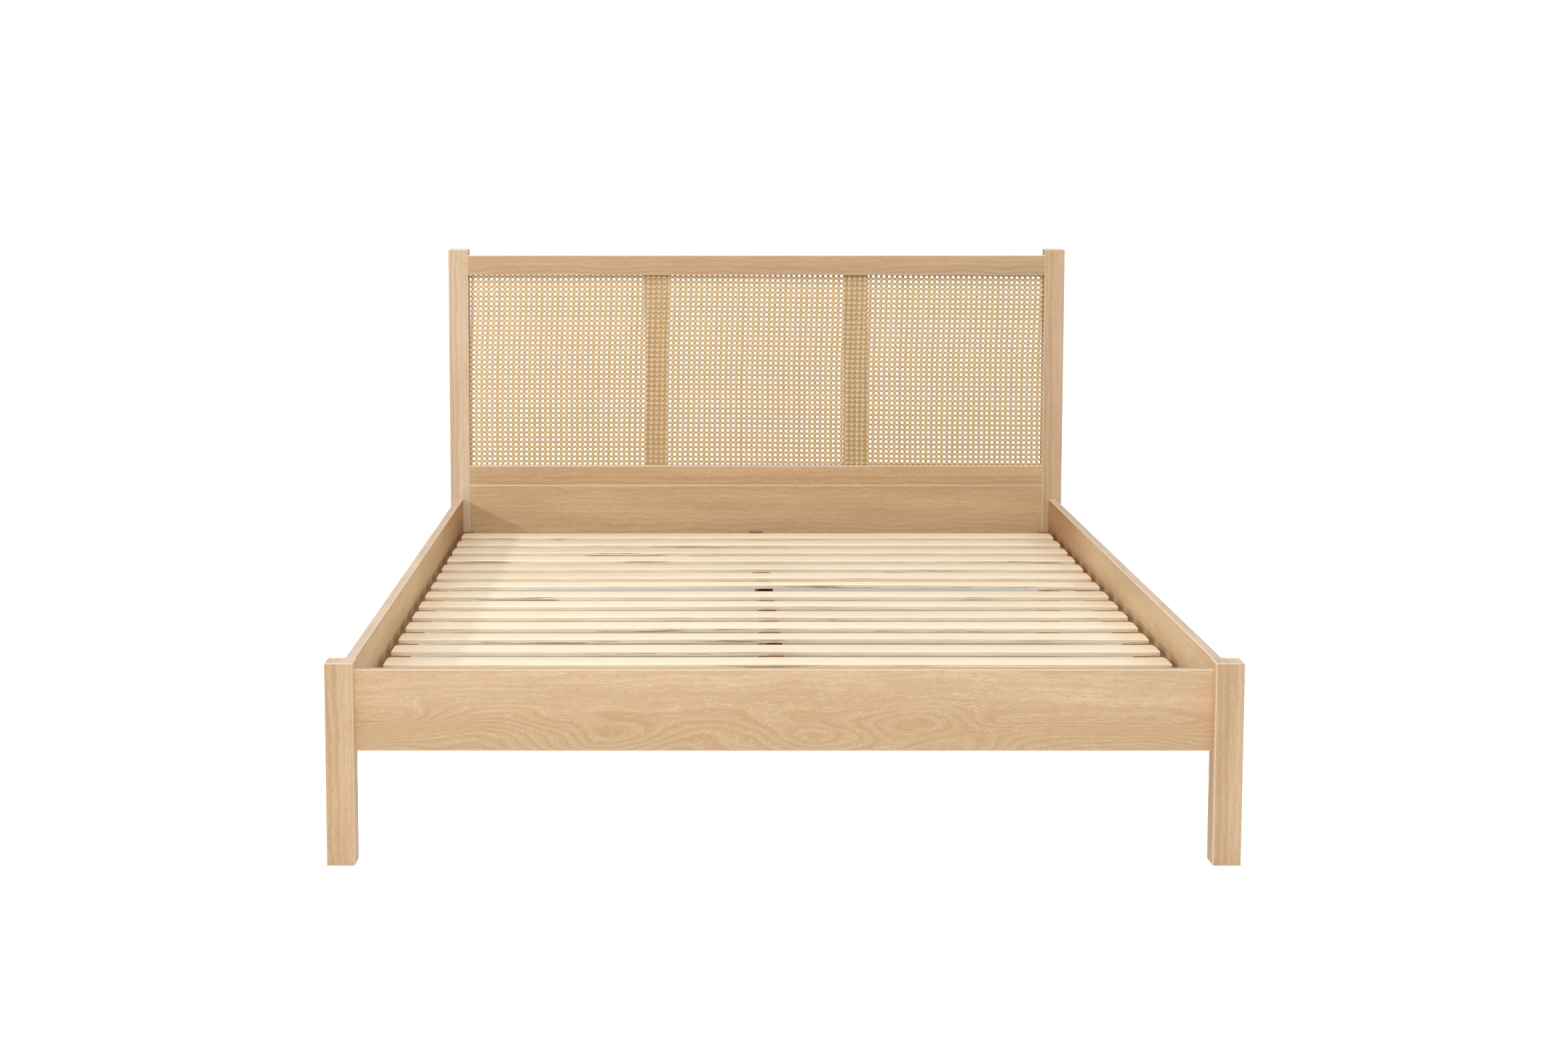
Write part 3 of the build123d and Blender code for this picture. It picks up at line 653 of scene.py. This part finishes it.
def slat_mesh(name, bow, roll, twist_phase, tone):
    """A planed board with round edges, a slight sideways bow, and a front edge that lifts between
    its fixed ends."""
    low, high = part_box(name)
    middle = (low + high) / 2
    half = (high - low) / 2
    near_end = [(reach, 0.0) for reach in SLAT_CORNER_STEPS]
    outwards = [(0.0, SLAT_END_ROUND), (SLAT_END_ROUND, 0.0), *near_end]
    stations = [(reach - half.x, inset) for reach, inset in outwards]
    for step in range(1, SLAT_STEPS):
        stations.append((half.x * (2 * step / SLAT_STEPS - 1), 0.0))
    stations += [(half.x - reach, inset) for reach, inset in reversed(outwards)]
    vertices = []
    for x, inset in stations:
        across = x / half.x
        from_end = max(1 - (half.x - abs(x)) / SLAT_CORNER_STEPS[-1], 0.0)
        corner_cut = SLAT_CORNER_CUT * from_end**2
        side = bow * (1 - across * across) + SLAT_WAVE * math.sin(5 * across + twist_phase)
        lift = roll * (1 - across * across) * (1 + 0.6 * across)
        for y, z in rounded_section(half.y, half.z, inset):
            raised = lift * (0.5 - y / half.y / 2)
            place_y = middle.y + y + side - (corner_cut if y > 0 else 0.0)
            vertices.append((middle.x + x, place_y, middle.z + z + raised))
    count = len(vertices) // len(stations)
    faces = [tuple(range(count))[::-1], tuple(range(len(vertices) - count, len(vertices)))]
    for station in range(len(stations) - 1):
        for point in range(count):
            first = station * count + point
            second = station * count + (point + 1) % count
            faces.append((first, second, second + count, first + count))
    mesh = bpy.data.meshes.new(name)
    mesh.from_pydata(vertices, [], faces)
    for face in mesh.polygons:
        normal = face.normal
        face.use_smooth = abs(normal.x) < 0.9
        if abs(normal.x) > 0.5:
            face.material_index = 2
        # The rounded upper edges take the painted highlight
        elif 0.2 < normal.z < 0.97:
            face.material_index = 3
        elif abs(normal.y) > 0.3:
            face.material_index = 1
    mesh.set_sharp_from_angle(angle=math.radians(35))
    tones = mesh.attributes.new("tone", "FLOAT", "POINT")
    tones.data.foreach_set("value", [tone] * len(vertices))
    return mesh


def make_slats():
    chance = random.Random(7)
    tones = random.Random(8)
    top = pine("pine_slat", "X", 1, *SLAT_FACE, knots=0.25, shade=slat_shade)
    side = slat_side("pine_slat_side", 2)
    end = pine("pine_slat_end", "X", 6, *SLAT_END)
    slat_highlight = pine("pine_slat_edge", "X", 10, *SLAT_EDGE_HIGHLIGHT, shade=slat_shade)
    for name in SLATS:
        tone = tones.uniform(*SLAT_TONE_RANGE)
        bow = chance.uniform(-1, 1) * SLAT_LARGEST_BOW
        roll = WARPED_SLATS.get(name, chance.uniform(0, 1) * SLAT_USUAL_ROLL)
        mesh = slat_mesh(name, bow, roll, chance.uniform(0, 6), tone)
        stand_in(f"{name}_board", mesh, [top, side, end, slat_highlight], name)


def make_staples():
    """Staples whose crowns have sunk into the wood, so that only their two shoulders show."""
    steel = metal("staple_steel", rgb(0.33, 0.31, 0.30), 0.4, 900.0)
    low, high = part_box("slat_staples")
    top = high.z
    half_crown = STAPLE_HALF_CROWN
    shape = bmesh.new()
    for name in SLATS:
        slat_low, slat_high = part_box(name)
        y = (slat_low.y + slat_high.y) / 2
        for side in (-1, 1):
            x = side * (high.x - half_crown - 0.5 * MM)
            path = [
                (x - half_crown, low.z),
                (x - half_crown, top - 0.6 * MM),
                (x - half_crown + 0.4 * MM, top + STAPLE_SHOULDER_RISE),
                (x - half_crown + 1.3 * MM, top - 0.5 * MM),
                (x, top - STAPLE_SINK),
            ]
            path += [(2 * x - px, pz) for px, pz in reversed(path[:-1])]
            add_wire(shape, [Vector((px, y, pz)) for px, pz in path], STAPLE_WIRE)
    stand_in("slat_staple_wires", mesh_of(shape, "slat_staple_wires"), [steel], "slat_staples")


def add_wire(shape, path, radius):
    """A hexagonal wire along a path that lies in a plane of constant Y."""
    rings = []
    for index, point in enumerate(path):
        before = path[max(index - 1, 0)]
        after = path[min(index + 1, len(path) - 1)]
        forward = (after - before).normalized()
        sideways = Vector((0, 1, 0))
        upward = forward.cross(sideways)
        ring = []
        for step in range(6):
            angle = math.pi * step / 3
            offset = sideways * math.cos(angle) + upward * math.sin(angle)
            ring.append(shape.verts.new(point + offset * radius))
        rings.append(ring)
    for first, second in zip(rings, rings[1:]):
        for step in range(6):
            after = (step + 1) % 6
            face = shape.faces.new((first[step], first[after], second[after], second[step]))
            face.smooth = True
    shape.faces.new(rings[0][::-1])
    shape.faces.new(rings[-1])


# ---------------------------------------------------------------- cane
def smooth_step(value, start, length):
    """Rises smoothly from 0 at the start to 1 over the length."""
    value = np.clip((value - start) / length, 0.0, 1.0)
    return value * value * (3 - 2 * value)


class Cane:
    """The lattice of the woven sheet. Places are counted in cells from its lower left corner."""

    def __init__(self):
        self.low, self.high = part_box("cane_sheet")
        self.centre = (self.low + self.high) / 2
        self.columns = CANE_COLUMNS
        self.rows = CANE_ROWS
        self.start_x = self.low.x + CANE_SIDE_MARGIN
        self.start_z = self.high.z - CANE_TOP_MARGIN - self.rows * CELL_HEIGHT

    def place(self, u, v):
        """Metres along X and Z for places in cells, with the sheet's slow drift and lean."""
        x = self.start_x + u * CELL_WIDTH
        z = self.start_z + v * CELL_HEIGHT
        drop = self.start_z + self.rows * CELL_HEIGHT - z
        left = 1 - smooth_step(x, *LEFT_PART)
        left_lean = LEFT_LEAN * left * smooth_step(drop, *LEFT_LEAN_DROP)
        lean = LEAN * smooth_step(drop, *LEAN_DROP) + left_lean
        tighter = TIGHTENING * smooth_step(x, *TIGHTENING_X)
        beside_upright = smooth_step(x, *UPRIGHT_NEAR_X) * (1 - smooth_step(x, *UPRIGHT_PAST_X))
        tuck = UPRIGHT_TUCK * beside_upright * smooth_step(drop, *TUCK_DROP)
        sag = SAG * smooth_step(x, *SAG_X)
        ripple_x = 0.22 * np.sin(u * 0.31 + v * 0.17) + 0.2 * np.sin(v * 0.45 - u * 0.07)
        ripple_z = 0.18 * np.sin(u * 0.27 + 0.5) + 0.15 * np.sin(u * 0.11 + v * 0.29)
        return x + ripple_x * MM - lean - tighter - tuck, z + ripple_z * MM - sag

    def clip(self, u, v):
        """Which places lie on the sheet."""
        x, z = self.place(u, v)
        inside_x = (x > self.low.x + MM) & (x < self.high.x - MM)
        return inside_x & (z > self.low.z + MM) & (z < self.high.z - MM)


def strand_rings(cane, u, v, rise, width):
    """Rings of four points, a flat back and a narrower crown, along one strand."""
    x, z = cane.place(u, v)
    along = np.stack([np.gradient(x), np.gradient(z)], 1)
    along /= np.linalg.norm(along, axis=1)[:, None]
    side = np.stack([-along[:, 1], along[:, 0]], 1)
    front = cane.centre.y - rise
    half = width / 2
    rings = []
    for across, depth in ((-1, 0.5), (-0.55, -0.5), (0.55, -0.5), (1, 0.5)):
        rings.append(
            np.stack(
                [
                    x + side[:, 0] * across * half,
                    front + depth * STRAND_THICKNESS,
                    z + side[:, 1] * across * half,
                ],
                1,
            )
        )
    return np.stack(rings, 1)


def strands_piece(name, cane, strands, material):
    """One mesh of many strands, each with its places u and v, its rises and its width."""
    vertices, quads, tones = [], [], []
    chance = random.Random(name)
    start = 0
    for u, v, rise, width in strands:
        keep = cane.clip(u, v)
        if keep.sum() < 3:
            continue
        rings = strand_rings(cane, u[keep], v[keep], rise[keep], width)
        count = len(rings)
        vertices.append(rings.reshape(-1, 3))
        tones.append(np.full(count * 4, chance.random()))
        first = start + 4 * np.arange(count - 1)[:, None]
        for corner in range(4):
            after = (corner + 1) % 4
            quads.append(
                np.concatenate([first + corner, first + corner + 4, first + after + 4, first + after], 1)
            )
        quads.append(np.array([[start, start + 1, start + 2, start + 3]]))
        last = start + 4 * (count - 1)
        quads.append(np.array([[last + 3, last + 2, last + 1, last]]))
        start += 4 * count
    points = np.concatenate(vertices)
    mesh = bpy.data.meshes.new(name)
    mesh.from_pydata(points, [], np.concatenate(quads).tolist())
    across = np.tile(np.array([1.0, 0.3, 0.3, 1.0]), len(points) // 4)
    for key, values in (("tone", np.concatenate(tones)), ("across", across)):
        attribute = mesh.attributes.new(key, "FLOAT", "POINT")
        attribute.data.foreach_set("value", values.astype(np.float32))
    mesh.shade_smooth()
    return stand_in(name, mesh, [material], "cane_sheet")


def pair_strand(second, cells, crossing_spread, sign):
    """Places and rises of one strand of a pair, which passes over one strand of each crossing pair
    and under the other."""
    stops, rises = [], []
    for cell in range(-1, cells + 2):
        for offset, level in ((-crossing_spread, 1), (crossing_spread, -1), (0.5, 0)):
            stops.append(cell + offset)
            rises.append(level * PAIR_RISE * sign * (1 if second else -1))
    return np.array(stops), np.array(rises)


def make_cane():
    cane = Cane()
    across_spread = VERTICAL_SPREAD / CELL_WIDTH
    up_spread = HORIZONTAL_SPREAD / CELL_HEIGHT
    chance = random.Random(11)
    groups = {name: [] for name in (
        "cane_uprights_left", "cane_uprights_right", "cane_crossings_lower", "cane_crossings_upper",
        "cane_diagonals_rising", "cane_diagonals_falling")}
    for column in range(-1, cane.columns + 2):
        side = "left" if column < cane.columns / 2 else "right"
        for second in (False, True):
            v, rise = pair_strand(second, cane.rows, up_spread, 1)
            offset = across_spread if second else -across_spread
            u = np.full(len(v), column + offset + chance.uniform(-0.01, 0.01))
            groups[f"cane_uprights_{side}"].append((u, v, rise, VERTICAL_WIDTH))
    for row in range(-1, cane.rows + 2):
        half = "lower" if row < cane.rows / 2 else "upper"
        for second in (False, True):
            u, rise = pair_strand(second, cane.columns, across_spread, -1)
            offset = up_spread if second else -up_spread
            v = np.full(len(u), row + offset + chance.uniform(-0.01, 0.01))
            groups[f"cane_crossings_{half}"].append((u, v, rise, HORIZONTAL_WIDTH))
    steps = np.arange(-4, 4 * (cane.columns + 1) + 1) / 4
    for line in range(-cane.rows - 2, cane.columns + cane.rows + 3):
        over = DIAGONAL_RISE * np.cos(2 * math.pi * steps)
        rising = steps - line - 0.5
        falling = line + 0.5 - steps
        groups["cane_diagonals_rising"].append((steps, rising, over, DIAGONAL_WIDTH))
        groups["cane_diagonals_falling"].append((steps, falling, -over, DIAGONAL_WIDTH))
    materials = {
        "uprights": cane_material("cane_upright_strand", "Z"),
        "crossings": cane_material("cane_level_strand", "X"),
        "diagonals": cane_material("cane_diagonal_strand", "X", DIAGONAL_SHADE),
    }
    for name, strands in groups.items():
        strands_piece(name, cane, strands, materials[name.split("_")[1]])


# ---------------------------------------------------------------- fittings
def dress_nodes():
    """Materials for the CAD nodes that keep their own shape."""
    looks = {
        "steel": metal("zinc_plated_steel", rgb(0.62, 0.62, 0.64), 0.25, 700.0),
        "zinc": metal("cast_zinc", rgb(0.55, 0.55, 0.56), 0.4, 500.0),
        "beech": pine("beech_dowel", "X", 8, *BEECH),
        "reed": pine("reed_spline", "X", 9, *REED),
        "black_plastic": black_plastic("black_foot_plastic"),
    }
    for name, node in frame["nodes"].items():
        look = looks.get(slot_of(name))
        if look:
            node.data.materials.clear()
            node.data.materials.append(look)


# ---------------------------------------------------------------- studio
def area_light(name, place, target, size, power):
    light = bpy.data.lights.new(name, "AREA")
    light.shape = "RECTANGLE"
    light.size, light.size_y = size
    light.energy = power
    lamp = bpy.data.objects.new(name, light)
    lamp.location = place
    lamp.rotation_euler = (Vector(target) - Vector(place)).to_track_quat("-Z", "Y").to_euler()
    lamp.visible_camera = False
    bpy.context.scene.collection.objects.link(lamp)


MIDDLE = (0.0, 0.0, 0.35)

# Each light's name, place, target and size in metres, and power in watts
LIGHTS = (
    ("key_left", (-3.2, -1.0, 1.585), (0.0, 0.2, 0.35), (0.12, 0.12), 39.0),
    ("front_soft", (0.0, -4.0, 4.2), MIDDLE, (3.0, 2.0), 121.0),
    ("top_soft", (0.0, -0.5, 4.2), MIDDLE, (3.0, 3.0), 99.0),
    ("top_back", (0.0, 3.0, 4.0), MIDDLE, (3.0, 2.0), 38.0),
)


def make_studio():
    bpy.ops.mesh.primitive_plane_add(size=FLOOR_SIZE, location=(0, 0, cad_low[2]))
    floor = bpy.context.object
    floor.name = "studio_floor"
    floor.data.materials.append(floor_material())
    make_world()
    for name, place, target, size, power in LIGHTS:
        area_light(name, place, target, size, power)


def make_world():
    """A studio that lights the bed softly from all round and looks pure white itself."""
    world = bpy.data.worlds.new("white_studio")
    world.use_nodes = True
    tree = world.node_tree
    background = tree.nodes["Background"]
    background.inputs["Color"].default_value = rgb(1.0, 1.0, 1.0)
    seen = tree.nodes.new("ShaderNodeLightPath")
    strength = tree.nodes.new("ShaderNodeMath")
    strength.operation = "MULTIPLY_ADD"
    strength.inputs[1].default_value = 1.0 - WORLD_LIGHT
    strength.inputs[2].default_value = WORLD_LIGHT
    tree.links.new(seen.outputs["Is Camera Ray"], strength.inputs[0])
    tree.links.new(strength.outputs[0], background.inputs["Strength"])
    bpy.context.scene.world = world


def make_camera():
    camera = bpy.data.cameras.new("camera")
    camera.lens = LENS
    camera.sensor_width = SENSOR_WIDTH
    camera.shift_x, camera.shift_y = SHIFT
    camera.clip_end = FARTHEST_SEEN
    holder = bpy.data.objects.new("camera", camera)
    holder.location = CAMERA_PLACE
    holder.rotation_euler = (math.radians(90.0 - CAMERA_TILT_DOWN), 0.0, 0.0)
    bpy.context.scene.collection.objects.link(holder)
    bpy.context.scene.camera = holder


make_camera()
make_studio()
make_boards()
make_supports()
make_slats()
make_staples()
make_cane()
dress_nodes()

bpy.context.scene.view_settings.view_transform = "Standard"
